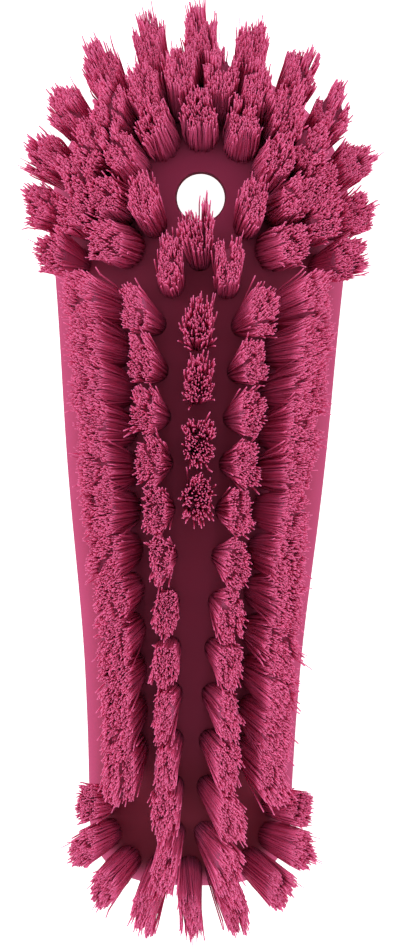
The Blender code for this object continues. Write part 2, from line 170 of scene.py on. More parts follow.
CENTRE_SHAPE = TuftShape(225, 0.0060, 0.0041, 0.08, 0.30, 1.2, 0.0110, 1.0)
INNER_SHAPE = TuftShape(440, 0.0061, 0.0031, 0.05, 0.14, 1.0, 0.0034, 1.0)
EDGE_ROW_SHAPE = TuftShape(520, 0.0074, 0.0039, 0.28, 0.16, 1.0, 0.0034, 1.0)

BRISTLE_LENGTH = 0.028
EDGE_BRISTLE_LENGTH = 0.025

# Rings of tufts round the head and the tail. The first of two leans is at the brush's end, and the second
# is at its side, from the side angle on. A tuft's heading is its angle times the turn.
EDGE_RING_INSET = 0.005
RING_PITCH = 0.0072
HEAD_EDGE_TUFTS = 13
HEAD_EDGE_SPREAD = math.radians(113)
HEAD_SECOND_TUFTS = 12
HEAD_SECOND_SPREAD = math.radians(97)
HEAD_THIRD_TUFTS = 9
HEAD_THIRD_SPREAD = math.radians(116)
TAIL_EDGE_TUFTS = 9
TAIL_EDGE_SPREAD = math.radians(84)
EDGE_LEANS = (math.radians(33), math.radians(19))
SECOND_LEANS = (math.radians(22), math.radians(13))
THIRD_LEANS = (math.radians(14), math.radians(13))
TAIL_LEANS = (math.radians(32), math.radians(13))
SIDE_ANGLE = math.radians(112)
HEAD_TURN = 0.64
TAIL_TURN = 1.05

# Tufts beside the hanging hole
FIRST_HOLE_TUFT_INSET = 0.0093
FIRST_HOLE_TUFT_SETBACK = 0.0079
FIRST_HOLE_TUFT_FAN_RADIUS = 0.147
SECOND_HOLE_TUFT_OFFSET = 0.0076
SECOND_HOLE_TUFT_SETBACK = 0.0244
SECOND_HOLE_TUFT_FAN_RADIUS = 0.217

# Centre row, whose first tuft stands apart and leans over the hanging hole
CENTRE_ROW_TUFTS = 5
CENTRE_ROW_GAP = 0.0105
CENTRE_ROW_BREAK = 0.0075
CENTRE_ROW_PITCH = 0.0147
FIRST_CENTRE_TUFT_LEAN = math.radians(19)

# Rows along the flanks. They widen with a share of the block's half width, the taper, and their fan radii
# go from the row's front to its rear. The tufts of the inner rows stand nearly upright behind the middle of
# the brush and splay most by its tail.
INNER_ROW_AT_TAIL = 0.0050
INNER_ROW_SETBACK = 0.0305
INNER_ROW_PITCH = 0.0128
INNER_ROW_TAPER = 0.68
INNER_ROW_FAN_RADII = (0.062, 0.062, 0.062, 0.062, 0.066, 0.072, 0.095, 0.060, 0.043, 0.036, 0.031, 0.027)
INNER_ROW_GAP_AT_TAIL = 0.0150
EDGE_ROW_SPACING_AT_TAIL = 0.0105
EDGE_ROW_SETBACK = 0.0270
EDGE_ROW_PITCH = 0.0108
EDGE_ROW_TAPER = 0.57
EDGE_ROW_FAN_RADII = (0.0457, 0.0720)
EDGE_ROW_GAP_AT_TAIL = 0.0125
LONG_FAN_RADIUS = 0.265

# How far the filaments of this used brush have set to the right by their tips, at its tail and at its head
SET_AT_TAIL = 0.0026
SET_AT_HEAD = -0.0013

HEAD_TIP = BLOCK_LENGTH / 2
TAIL_TIP = -BLOCK_LENGTH / 2
HEAD_CENTRE = HEAD_TIP - HEAD_RADIUS
TAIL_CENTRE = TAIL_TIP + TAIL_ROUNDING_LENGTH
HEAD_TANGENT = math.atan(FLANK_SLOPE_AT_HEAD)
FLANK_START = Vector((0, HEAD_CENTRE))
FLANK_START += HEAD_RADIUS * Vector((math.cos(HEAD_TANGENT), -math.sin(HEAD_TANGENT)))
HOLE_CENTRE = HEAD_TIP - HANGING_HOLE_SETBACK
INNER_ROW_END = TAIL_TIP + INNER_ROW_GAP_AT_TAIL
EDGE_ROW_END = TAIL_CENTRE + EDGE_ROW_GAP_AT_TAIL

# Block plastic: its dye and the size of its clouds, the colour of the painted shade that darkens its face
# among the tufts, its lowest and highest roughness, and its grain
BLOCK_LIGHT = (0.515, 0.070, 0.184, 1)
BLOCK_DARK = (0.460, 0.058, 0.154, 1)
BLOCK_CLOUDS = 45
PAINTED_SHADE_COLOUR = (0.50, 0.42, 0.34, 1)
BLOCK_ROUGHNESS = (0.40, 0.56)
GRAIN_SCALE = 2600
GRAIN_DETAIL = 3
GRAIN_STRENGTH = 0.35
GRAIN_DEPTH = 0.00006

# Filament plastic: its dye and the size of its clouds, the lighter cut ends, where along a filament they
# start and how much they show, the tones of its tints, and the shade by its root and where that ends
FILAMENT_LIGHT = (0.86, 0.154, 0.362, 1)
FILAMENT_DARK = (0.78, 0.125, 0.298, 1)
FILAMENT_CLOUDS = 220
CUT_END = (0.87, 0.215, 0.42, 1)
CUT_END_START = 0.9
CUT_END_SHARE = 0.35
TONES = (0.88, 1.12)
ROOT_SHADE = 0.34
ROOT_SHADE_ENDS = (0.1, 0.38)
FILAMENT_ROUGHNESS = 0.5

# Both plastics
CLOUD_DETAIL = 4
PLASTIC_SPECULAR = 0.12

# The white floor, a little below the brush, and how brightly the camera sees it glow
WHITE = (1, 1, 1, 1)
FLOOR_COLOUR = (0.86, 0.86, 0.86, 1)
FLOOR_ROUGHNESS = 0.9
FLOOR_SIZE = 6
FLOOR_GAP = 0.0002
FLOOR_GLOW = 0.92

# The white tent: up to the first height it has the third value's strength, and from the second height to
# its top, where the camera looks in, the fourth's. The heights are sines of an elevation.
TENT_LIGHT = (0.60, 0.95, 1.10, 0.72)

# Softboxes beside the tent, each with its place and power
SOFTBOXES = {"left_softbox": ((-1.5, 0.3, 1.0), 10), "right_softbox": ((1.5, 0.1, 1.0), 6)}
SOFTBOX_SIZE = 1.2
SOFTBOX_AIM = (0, 0, 0.03)

# The photograph's height in pixels and its scale, which holds at the scale height, and the camera straight
# above the brush, a little right of its axis and turned
IMAGE_HEIGHT = 952
METRES_A_PIXEL = 0.0002766
SCALE_HEIGHT = 0.040
CAMERA_DISTANCE = 3.0
CAMERA_OFFSET = 0.00113
CAMERA_ROLL = math.radians(1)
CAMERA_REACH = 20
SENSOR_HEIGHT = 36


def blend(a, b, share):
    return a + (b - a) * share


def smooth_step(value):
    value = min(max(value, 0.0), 1.0)
    return value * value * (3 - 2 * value)


def flank_x(y):
    length = FLANK_START.y - TAIL_CENTRE
    share = (FLANK_START.y - y) / length
    square, cube = share**2, share**3
    return (
        (2 * cube - 3 * square + 1) * FLANK_START.x
        - (cube - 2 * square + share) * FLANK_SLOPE_AT_HEAD * length
        + (3 * square - 2 * cube) * TAIL_HALF_WIDTH
        - (cube - square) * FLANK_SLOPE_AT_TAIL * length
    )


def half_width(y):
    """Half the width of the plan that the tufts follow."""
    if y > FLANK_START.y:
        return math.sqrt(max(HEAD_RADIUS**2 - (y - HEAD_CENTRE) ** 2, 0.0))
    if y < TAIL_CENTRE:
        reach = min((TAIL_CENTRE - y) / TAIL_ROUNDING_LENGTH, 1.0)
        return TAIL_HALF_WIDTH * (1 - reach**TAIL_SQUARENESS) ** (1 / TAIL_SQUARENESS)
    return flank_x(y)


def waist(y):
    """How far the block's outline stands out from the flank's curve."""
    share = (y - WAIST_REAR) / (WAIST_FRONT - WAIST_REAR)
    return WAIST_FULLNESS * math.sin(math.pi * min(max(share, 0.0), 1.0)) ** 2


def outline(head_steps=40, flank_steps=44, tail_steps=26):
    """The block's plan from the tip of the head, down its right side, to the tip of the tail and back."""
    right = []
    for step in range(head_steps):
        angle = (math.pi / 2 + HEAD_TANGENT) * step / head_steps
        right.append(Vector((HEAD_RADIUS * math.sin(angle), HEAD_CENTRE + HEAD_RADIUS * math.cos(angle))))
    for step in range(flank_steps):
        y = blend(FLANK_START.y, TAIL_CENTRE, step / flank_steps)
        right.append(Vector((flank_x(y) + waist(y), y)))
    for step in range(tail_steps + 1):
        angle = math.pi / 2 * step / tail_steps
        across = max(math.cos(angle), 0.0) ** (2 / TAIL_SQUARENESS)
        along = math.sin(angle) ** (2 / TAIL_SQUARENESS)
        right.append(Vector((TAIL_HALF_WIDTH * across, TAIL_CENTRE - TAIL_ROUNDING_LENGTH * along)))
    left = [Vector((-point.x, point.y)) for point in reversed(right[1:-1])]
    return right + left


def spine_point(point):
    return Vector((0, min(max(point.y, TAIL_CENTRE), HEAD_CENTRE)))


def nearness_to_edge(x, y):
    """0 on the spine of the face and 1 on the block's outline."""
    if y > HEAD_CENTRE:
        return math.hypot(x, y - HEAD_CENTRE) / HEAD_RADIUS
    if y < TAIL_CENTRE:
        across = abs(x) / TAIL_HALF_WIDTH
        along = (TAIL_CENTRE - y) / TAIL_ROUNDING_LENGTH
        return (across**TAIL_SQUARENESS + along**TAIL_SQUARENESS) ** (1 / TAIL_SQUARENESS)
    return abs(x) / (half_width(y) + waist(y))


def endness(y):
    """0 along the grip, rising to 1 towards the head and the tail."""
    return max(smooth_step((y - GRIP_FRONT) / HEAD_BLEND), smooth_step((-GRIP_REAR - y) / TAIL_BLEND))


def crown_height(y):
    return FACE_HEIGHT - FACE_BOW * (y / HEAD_TIP) ** 2


def rim_height(y):
    return crown_height(y) - blend(EDGE_DROP, EDGE_DROP_AT_ENDS, endness(y))


def face_height(x, y):
    """Height of the domed bristle face."""
    near = min(nearness_to_edge(x, y), 1.0)
    return blend(rim_height(y), crown_height(y), (1 - near**EDGE_ROUNDNESS) ** (1 / EDGE_ROUNDNESS))


def pad_point(edge):
    """The point of the flat crown pad that lies opposite a point of the outline."""
    share = (spine_point(edge).y - TAIL_CENTRE) / (HEAD_CENTRE - TAIL_CENTRE)
    middle = Vector((0, blend(PAD_HALF_WIDTH - PAD_REAR, PAD_FRONT - PAD_HALF_WIDTH, share)))
    return middle + (edge - spine_point(edge)).normalized() * PAD_HALF_WIDTH


def back_levels():
    """Sections of the back from the pad to the rim: the way out and the share of the rim's height,
    first across the grip with its finger scoops, and then towards the head and the tail."""
    scoop = SCOOP_HEIGHT / (FACE_HEIGHT - EDGE_DROP)
    scoop_way = (SCOOP_HALF_WIDTH - PAD_HALF_WIDTH) / (half_width(0) - PAD_HALF_WIDTH)
    end_rim = FACE_HEIGHT - FACE_BOW - EDGE_DROP_AT_ENDS
    nose = 1 - (NOSE_THICKNESS - EDGE_DROP_AT_ENDS) / end_rim
    lip = 1 - LIP_THICKNESS / end_rim
    return [
        ((0.0, 0.0), (0.0, 0.0)),
        ((scoop_way * 0.36, scoop * 0.06), (0.14, nose * 0.18)),
        ((scoop_way * 0.70, scoop * 0.25), (0.30, nose * 0.52)),
        ((scoop_way * 0.91, scoop * 0.58), (0.46, nose * 0.84)),
        ((scoop_way, scoop), (0.62, nose)),
        ((blend(scoop_way, 1, 0.12), blend(scoop, 1, 0.32)), (0.78, blend(nose, lip, 0.50))),
        ((blend(scoop_way, 1, 0.46), blend(scoop, 1, 0.56)), (0.90, blend(nose, lip, 0.80))),
        ((blend(scoop_way, 1, 0.80), blend(scoop, 1, 0.68)), (0.965, lip)),
        ((blend(scoop_way, 1, 0.96), blend(scoop, 1, 0.84)), (0.993, blend(lip, 1, 0.42))),
        ((1.0, 1.0), (1.0, 1.0)),
    ]


def smooth_between(values, place):
    """A value on the smooth curve through a list of values, at a place counted in list steps."""
    index = min(int(place), len(values) - 2)
    share = place - index
    near = [min(max(index + step, 0), len(values) - 1) for step in (-1, 0, 1, 2)]
    before, first, second, after = (values[step] for step in near)
    return 0.5 * (
        2 * first
        + (second - before) * share
        + (2 * before - 5 * first + 4 * second - after) * share**2
        + (3 * first - before - 3 * second + after) * share**3
    )


def block_surface(edge, level):
    """A point of the block above one of its outline's points. The level goes from 0 on the pad's edge
    to 1 on the rim, and on to 2 on the spine of the face."""
    if level <= 1:
        levels = back_levels()
        place = level * (len(levels) - 1)
        grip = [smooth_between([row[0][part] for row in levels], place) for part in (0, 1)]
        end = [smooth_between([row[1][part] for row in levels], place) for part in (0, 1)]
        share = endness(edge.y)
        where = pad_point(edge).lerp(edge, blend(grip[0], end[0], share))
        return (*where, rim_height(edge.y) * blend(grip[1], end[1], share))
    near = math.cos(math.pi / 2 * (level - 1))
    where = spine_point(edge).lerp(edge, near)
    return (*where, face_height(*where))


@contextmanager
def edit_mode():
    """Puts the active object in edit mode for a few steps."""
    bpy.ops.object.mode_set(mode="EDIT")
    yield
    bpy.ops.object.mode_set(mode="OBJECT")


def only(piece):
    """Selects one piece, and nothing else."""
    bpy.ops.object.select_all(action="DESELECT")
    piece.select_set(True)
    bpy.context.view_layer.objects.active = piece


def add_object(name, data):
    """A new object in the scene."""
    made = bpy.data.objects.new(name, data)
    bpy.context.scene.collection.objects.link(made)
    return made


def build_block():
    """The block: a grid that is wrapped round the outline, from the pad to the spine of the face."""
    edges = outline()
    levels = [step / BACK_STEPS for step in range(BACK_STEPS + 1)]
    levels += [1 + step / FACE_STEPS for step in range(1, FACE_STEPS + 1)]
    bpy.ops.object.select_all(action="DESELECT")
    bpy.ops.mesh.primitive_grid_add(x_subdivisions=len(edges), y_subdivisions=len(levels) - 1, size=1)
    block = bpy.context.object
    block.name = block.data.name = "moulded_block"
    around = len(edges) + 1
    for vertex in block.data.vertices:
        station, level = vertex.index % around, levels[vertex.index // around]
        vertex.co = block_surface(edges[station % len(edges)], level)
    with edit_mode():
        bpy.ops.mesh.select_all(action="SELECT")
        bpy.ops.mesh.remove_doubles(threshold=MERGE_DISTANCE)
    with edit_mode():
        bpy.ops.mesh.select_all(action="DESELECT")
        bpy.ops.mesh.select_non_manifold()
        bpy.ops.mesh.edge_face_add()
        bpy.ops.mesh.select_all(action="SELECT")
        bpy.ops.mesh.normals_make_consistent(inside=False)
    return block


def mark_painted_shade(block):
    """Marks the face among the tufts for painted shade, a darker colour where the tufts shade it."""
    marks = []
    for vertex in block.data.vertices:
        x, y, z = vertex.co
        near = nearness_to_edge(x, y)
        beside_spine = smooth_step((near - PAINTED_SHADE_FROM) / PAINTED_SHADE_FADE)
        behind_hole = smooth_step((HOLE_CENTRE - y) / PAINTED_SHADE_BEHIND_HOLE)
        painted_shade = smooth_step((PAINTED_SHADE_TO - near) / PAINTED_SHADE_FADE) * max(beside_spine, behind_hole)
        painted_shade *= blend(PAINTED_SHADE_ALONG, 1, smooth_step((TAIL_CENTRE + PAINTED_SHADE_TAIL - y) / PAINTED_SHADE_TAIL))
        marks.append(painted_shade if z > rim_height(y) - TUFT_HOLE_DEPTH else 0.0)
    block.data.attributes.new("painted_shade", "FLOAT", "POINT").data.foreach_set("value", marks)


def head_ring(inset):
    """A ring round the head, which gives a tuft's root and heading at an angle from the head's tip."""

    def at(angle):
        away = Vector((math.sin(angle), math.cos(angle)))
        return Vector((0, HEAD_CENTRE)) + away * (HEAD_RADIUS - inset), HEAD_TURN * angle

    return at


def tail_ring(inset):
    """The same round the tail, at an angle from the tail's tip."""

    def at(angle):
        away = Vector((math.sin(angle), -math.cos(angle)))
        edge = nearness_to_edge(away.x, TAIL_CENTRE - max(math.cos(angle), 0.0))
        return Vector((0, TAIL_CENTRE)) + away * (1 / edge - inset), math.pi - TAIL_TURN * angle

    return at


def ring_rows(name, ring, count, spread, leans, length, shape):
    """A ring's tufts shared among three nodes, each tuft with its root, heading, lean and length."""
    angles = [blend(-spread, spread, index / (count - 1)) for index in range(count)]
    side = count // 3
    shares = (angles[:side], angles[side : count - side], angles[count - side :])
    rows = {}
    for place, own in zip(("left", "middle", "right"), shares):
        tufts = []
        for angle in own:
            root, heading = ring(angle)
            endward = 0.5 + 0.5 * math.cos(math.pi * min(abs(angle) / SIDE_ANGLE, 1.0))
            tufts.append((root, heading, blend(leans[1], leans[0], endward), length))
        rows[f"{name}_{place}"] = (tufts, shape)
    return rows


def fanned(root, fan_radius):
    """A tuft of a straight row. It leans outward and away from the block's middle."""
    across = root.x / fan_radius
    along = root.y / LONG_FAN_RADIUS
    return root, math.atan2(across, along), math.atan(math.hypot(across, along)), BRISTLE_LENGTH


def flank_rows(name, front, rear, pitch, at_tail, taper, fan_radii, shape):
    """A row on either side, each shared among a front and a rear node."""
    count = round((front - rear) / pitch) + 1
    ys = [blend(front, rear, index / (count - 1)) for index in range(count)]
    radii = np.interp(np.linspace(0, 1, count), np.linspace(0, 1, len(fan_radii)), fan_radii)
    half = (count + 1) // 2
    rows = {}
    for side, sign in (("left", -1), ("right", 1)):
        roots = [Vector((sign * (at_tail + taper * (half_width(y) - TAIL_HALF_WIDTH)), y)) for y in ys]
        tufts = [fanned(root, radius) for root, radius in zip(roots, radii)]
        rows[f"{name}_front_{side}"] = (tufts[:half], shape)
        rows[f"{name}_rear_{side}"] = (tufts[half:], shape)
    return rows


def head_and_tail_rows():
    edge = (head_ring(EDGE_RING_INSET), HEAD_EDGE_TUFTS, HEAD_EDGE_SPREAD, EDGE_LEANS)
    second = (head_ring(EDGE_RING_INSET + RING_PITCH), HEAD_SECOND_TUFTS, HEAD_SECOND_SPREAD, SECOND_LEANS)
    third = (head_ring(EDGE_RING_INSET + 2 * RING_PITCH), HEAD_THIRD_TUFTS, HEAD_THIRD_SPREAD, THIRD_LEANS)
    tail = (tail_ring(EDGE_RING_INSET), TAIL_EDGE_TUFTS, TAIL_EDGE_SPREAD, TAIL_LEANS)
    rows = ring_rows("head_edge_tufts", *edge, EDGE_BRISTLE_LENGTH, HEAD_EDGE_SHAPE)
    rows.update(ring_rows("head_second_tufts", *second, BRISTLE_LENGTH, SECOND_SHAPE))
    rows.update(ring_rows("head_third_tufts", *third, BRISTLE_LENGTH, THIRD_SHAPE))
    rows["head_third_tufts_middle"] = (rows["head_third_tufts_middle"][0], WORN_SHAPE)
    rows.update(ring_rows("tail_edge_tufts", *tail, EDGE_BRISTLE_LENGTH, TAIL_SHAPE))
    return rows


def centre_and_hole_rows():
    front = HOLE_CENTRE - HANGING_HOLE_RADIUS - CENTRE_ROW_GAP
    centre = [(Vector((0, front)), 0.0, FIRST_CENTRE_TUFT_LEAN, BRISTLE_LENGTH)]
    for index in range(1, CENTRE_ROW_TUFTS):
        root = Vector((0, front - CENTRE_ROW_BREAK - index * CENTRE_ROW_PITCH))
        centre.append(fanned(root, LONG_FAN_RADIUS))
    rows = {"centre_row_tufts": (centre, CENTRE_SHAPE)}
    beside_hole = HEAD_RADIUS - EDGE_RING_INSET - 2 * RING_PITCH - FIRST_HOLE_TUFT_INSET
    for side, sign in (("left", -1), ("right", 1)):
        first = Vector((sign * beside_hole, HOLE_CENTRE - FIRST_HOLE_TUFT_SETBACK))
        second = Vector((sign * SECOND_HOLE_TUFT_OFFSET, HOLE_CENTRE - SECOND_HOLE_TUFT_SETBACK))
        tufts = [fanned(first, FIRST_HOLE_TUFT_FAN_RADIUS), fanned(second, SECOND_HOLE_TUFT_FAN_RADIUS)]
        rows[f"hole_tufts_{side}"] = (tufts, HOLE_SHAPE)
    return rows


def all_rows():
    """Every node's tufts and their shape."""
    rows = head_and_tail_rows()
    rows.update(centre_and_hole_rows())
    inner = (INNER_ROW_PITCH, INNER_ROW_AT_TAIL, INNER_ROW_TAPER, INNER_ROW_FAN_RADII, INNER_SHAPE)
    rows.update(flank_rows("inner_row_tufts", HEAD_CENTRE - INNER_ROW_SETBACK, INNER_ROW_END, *inner))
    edge_at_tail = INNER_ROW_AT_TAIL + EDGE_ROW_SPACING_AT_TAIL
    edge = (EDGE_ROW_PITCH, edge_at_tail, EDGE_ROW_TAPER, EDGE_ROW_FAN_RADII, EDGE_ROW_SHAPE)
    rows.update(flank_rows("edge_row_tufts", HEAD_CENTRE - EDGE_ROW_SETBACK, EDGE_ROW_END, *edge))
    return rows


def tuft_frame(heading, lean):
    """Leans the upright towards a heading, which turns clockwise from the head."""
    return Matrix.Rotation(-heading, 3, "Z") @ Matrix.Rotation(-lean, 3, "X")


def cut_holes(block, rows):
    """Drills a leaning hole for each tuft and opens the hanging hole."""
    cutters = []
    for tufts, _ in rows.values():
        for root, heading, lean, _ in tufts:
            axis = tuft_frame(heading, lean) @ Vector((0, 0, 1))
            base = Vector((*root, face_height(*root)))
            reach = TUFT_HOLE_DEPTH + CUTTER_EXCESS
            bpy.ops.object.select_all(action="DESELECT")
            bpy.ops.mesh.primitive_cylinder_add(
                vertices=TUFT_HOLE_SIDES,
                radius=TUFT_HOLE_RADIUS,
                depth=reach,
                location=base + axis * (CUTTER_EXCESS - reach / 2),
                rotation=axis.to_track_quat("Z", "Y").to_euler(),
            )
            cutters.append(bpy.context.object)
    bpy.ops.object.select_all(action="DESELECT")
    for cutter in cutters:
        cutter.select_set(True)
    bpy.context.view_layer.objects.active = cutters[0]
    bpy.ops.object.join()
    drill = bpy.context.object
    hanging = build_hanging_hole_cutter()
    for cutter in (drill, hanging):
        only(block)
        bpy.ops.object.modifier_add(type="BOOLEAN")
        cut = block.modifiers[-1]
        cut.object = cutter
        bpy.ops.object.modifier_apply(modifier=cut.name)
        bpy.data.objects.remove(cutter)


def build_hanging_hole_cutter():
    """A waisted plug: moulded from both sides, so it narrows to the middle, and its edges are rounded."""
    face, back = face_height(0, HOLE_CENTRE), HANGING_HOLE_BACK
    outer = HANGING_HOLE_RADIUS + HANGING_HOLE_DRAFT
    widest = outer + HANGING_HOLE_EDGE + CUTTER_EXCESS
    edge = []
    for step in range(HANGING_HOLE_EDGE_STEPS + 1):
        angle = math.pi / 2 * step / HANGING_HOLE_EDGE_STEPS
        lift = HANGING_HOLE_EDGE * (1 - math.cos(angle))
        edge.append((lift, outer + HANGING_HOLE_EDGE * (1 - math.sin(angle))))
    profile = [(back - CUTTER_EXCESS, widest)]
    profile += [(back + lift, radius) for lift, radius in edge]
    profile.append(((face + back) / 2, HANGING_HOLE_RADIUS))
    profile += [(face - lift, radius) for lift, radius in reversed(edge)]
    profile.append((face + CUTTER_EXCESS, widest))
    first_z, first_radius = profile[0]
    bpy.ops.object.select_all(action="DESELECT")
    bpy.ops.mesh.primitive_circle_add(
        vertices=HANGING_HOLE_SIDES,
        radius=first_radius,
        fill_type="NGON",
        location=(0, HOLE_CENTRE, first_z),
    )
    cutter = bpy.context.object
    bpy.ops.object.transform_apply(location=True)
    with edit_mode():
        bpy.ops.mesh.select_all(action="SELECT")
        for (z, radius), (next_z, next_radius) in zip(profile, profile[1:]):
            bpy.ops.mesh.extrude_region_move(TRANSFORM_OT_translate={"value": (0, 0, next_z - z)})
            scale = next_radius / radius
            bpy.ops.transform.resize(value=(scale, scale, 1), center_override=(0, HOLE_CENTRE, next_z))
        bpy.ops.mesh.select_all(action="SELECT")
        bpy.ops.mesh.normals_make_consistent(inside=False)
    return cutter


def build_net(sides, cuts):
    """An upright closed tube, 1 long and 1 in radius, as points and faces to copy. Only the edges that run
    up it are cut, so they are selected as edges and not by their points."""
    bpy.ops.object.select_all(action="DESELECT")
    bpy.ops.mesh.primitive_cylinder_add(vertices=sides, radius=1, depth=1, location=(0, 0, 0.5))
    tube = bpy.context.object
    bpy.ops.object.transform_apply(location=True)
    mesh = tube.data
    with edit_mode():
        bpy.ops.mesh.select_mode(type="EDGE")
        bpy.ops.mesh.select_all(action="DESELECT")
    for edge in mesh.edges:
        low, high = (mesh.vertices[index].co.z for index in edge.vertices)
        edge.select = abs(high - low) > 0.5
    with edit_mode():
        bpy.ops.mesh.subdivide(number_cuts=cuts)
    points = np.array([vertex.co for vertex in mesh.vertices])
    faces = [tuple(face.vertices) for face in mesh.polygons]
    bpy.data.objects.remove(tube)
    return points, faces


def build_nets():
    """The filament, with its rings nearer to its ends and a worn tip, and the fluted core of a tuft."""
    points, faces = build_net(FILAMENT_SIDES, FILAMENT_CUTS)
    points[:, 2] -= FILAMENT_RING_SHIFT * np.sin(2 * math.pi * points[:, 2])
    at_tip = points[:, 2] > 0.999
    points[at_tip, :2] *= WORN_TIP
    filament = points, faces
    points, faces = build_net(CORE_SIDES, CORE_CUTS)
    flutes = np.round(np.arctan2(points[:, 1], points[:, 0]) / (2 * math.pi / CORE_SIDES)) % 2
    points[:, :2] *= (CORE_SHARE * (1 - CORE_FLUTING * flutes))[:, None]
    return filament, (points, faces)


def clumps_of(shape, chance):
    """Clumps of a tuft: where each lies in it, how far it leans aside and how much longer it is."""
    clumps = []
    for _ in range(CLUMPS):
        ray, turn = math.sqrt(chance.random()), chance.uniform(0, 2 * math.pi)
        place = Vector((ray * math.cos(turn), ray * math.sin(turn)))
        shift = Vector((chance.gauss(0, CLUMP_SHIFT), chance.gauss(0, CLUMP_SHIFT))) * shape.ragged
        longer = chance.gauss(0, CLUMP_UNEVENNESS) * shape.ragged
        clumps.append((place, shift, max(longer, SHORTEST_CLUMP)))
    return clumps


class Tuft:
    """Where one tuft stands, the way it leans, and the long and the short way across it."""

    def __init__(self, tuft, shape, chance):
        root, heading, lean, length = tuft
        lean += chance.uniform(-1, 1) * LEAN_JITTER
        heading += chance.uniform(-1, 1) * HEADING_JITTER
        self.shape = shape
        self.base = Vector((*root, face_height(*root)))
        set_aside = blend(SET_AT_TAIL, SET_AT_HEAD, (root.y - TAIL_TIP) / BLOCK_LENGTH) * shape.set_share
        straight = tuft_frame(heading, lean) @ Vector((0, 0, length))
        self.axis = (straight + Vector((set_aside, 0, 0))).normalized()
        self.long_way = (Vector((0, 1, 0)) - self.axis * self.axis.y).normalized()
        self.cross_way = self.long_way.cross(self.axis)
        self.trim = (self.axis * TRIM_TILT + Vector((0, 0, 1 - TRIM_TILT))).normalized()
        self.middle_tip = self.base + self.axis * length

    def across(self, spot, length_scale, width_scale):
        return self.long_way * (spot.x * length_scale) + self.cross_way * (spot.y * width_scale)

    def bulge(self, spot):
        return self.across(spot, self.shape.half_length, self.shape.half_width) * self.shape.bulge

    def way(self, spot, aside):
        """A filament's start and direction, and its length when it is trimmed level."""
        start = self.base + self.across(spot, TUFT_RADIUS, TUFT_RADIUS)
        direction = (self.middle_tip + aside - start).normalized()
        return start, direction, (self.middle_tip - start).dot(self.trim) / direction.dot(self.trim)


def squared(spot):
    """A spot of the round tuft, moved out to where it lies in the squarer patch of tips."""
    reach = (abs(spot.x) ** PATCH_SQUARENESS + abs(spot.y) ** PATCH_SQUARENESS) ** (1 / PATCH_SQUARENESS)
    return spot * (spot.length / reach)


def flare(along):
    """How a tuft opens out as soon as it leaves its hole: 0 at both ends and 1 at a quarter of the way."""
    return 256 / 27 * along * (1 - along) ** 3


def filament_paths(tuft, chance):
    """The paths of a tuft's filaments, which are spread over it by the golden angle: each with its root,
    the way to its tip, its bulge, the width and phase of its crimp, its radius and its tint."""
    shape = tuft.shape
    clumps = clumps_of(shape, chance)
    paths = []
    for index in range(shape.filaments):
        ray = math.sqrt((index + 0.5) / shape.filaments)
        turn = index * math.pi * (3 - math.sqrt(5)) + chance.uniform(-TURN_JITTER, TURN_JITTER)
        spot = Vector((ray * math.cos(turn), ray * math.sin(turn)))
        place, shift, longer = min(clumps, key=lambda clump: (clump[0] - spot).length)
        gathered = squared(spot).lerp(place, CLUMP_PULL)
        if chance.random() < shape.loose:
            gathered = gathered * chance.uniform(*LOOSE_REACH)
        scatter = shift + Vector((chance.gauss(0, TIP_SCATTER), chance.gauss(0, TIP_SCATTER)))
        aside = tuft.across(gathered, shape.half_length, shape.half_width) + tuft.across(scatter, 1, 1)
        start, direction, reach = tuft.way(spot, aside)
        reach += chance.gauss(0, TRIM_UNEVENNESS) + longer
        radius, crimp = FILAMENT_RADIUS, CRIMP
        if chance.random() < STRAY_SHARE:
            reach += chance.uniform(*STRAY_REACH)
        if chance.random() < THIN_STRAY_SHARE:
            reach += chance.uniform(*THIN_STRAY_REACH)
            radius, crimp = THIN_STRAY_RADIUS, 0
        start -= direction * FILAMENT_EMBED
        wave = tuft.across(Vector((chance.gauss(0, 1), chance.gauss(0, 1))), crimp, crimp)
        phase = chance.uniform(0, 2 * math.pi)
        way = direction * (reach + FILAMENT_EMBED)
        paths.append((start, way, tuft.bulge(spot), wave, phase, radius, chance.random()))
    return paths


def filament_points(path, points):
    """A filament's points, put along its path. Its crimp grows towards its tip."""
    start, way, bulge, wave, phase, radius, _ = path
    side = np.array(way.orthogonal().normalized())
    across = np.cross(np.array(way.normalized()), side)
    along = points[:, 2:3]
    centre = np.array(start) + along * np.array(way) + flare(along) * np.array(bulge)
    turns = phase + along * way.length / CRIMP_LENGTH * 2 * math.pi
    centre = centre + along**2 * (np.sin(turns) * np.array(wave) + np.cos(turns) * CROSS_CRIMP * across)
    return centre + (points[:, :1] * side + points[:, 1:2] * across) * radius


def core_points(tuft, points):
    """The core's points, put along the ways that level filaments would take."""
    shape = tuft.shape
    placed = []
    for x, y, share in points:
        spot = Vector((x, y))
        start, direction, reach = tuft.way(spot, tuft.across(spot, shape.half_length, shape.half_width))
        start -= direction * FILAMENT_EMBED
        way = direction * (reach + FILAMENT_EMBED - shape.core_depth)
        placed.append(start + way * share + tuft.bulge(spot) * flare(share))
    return np.array(placed)


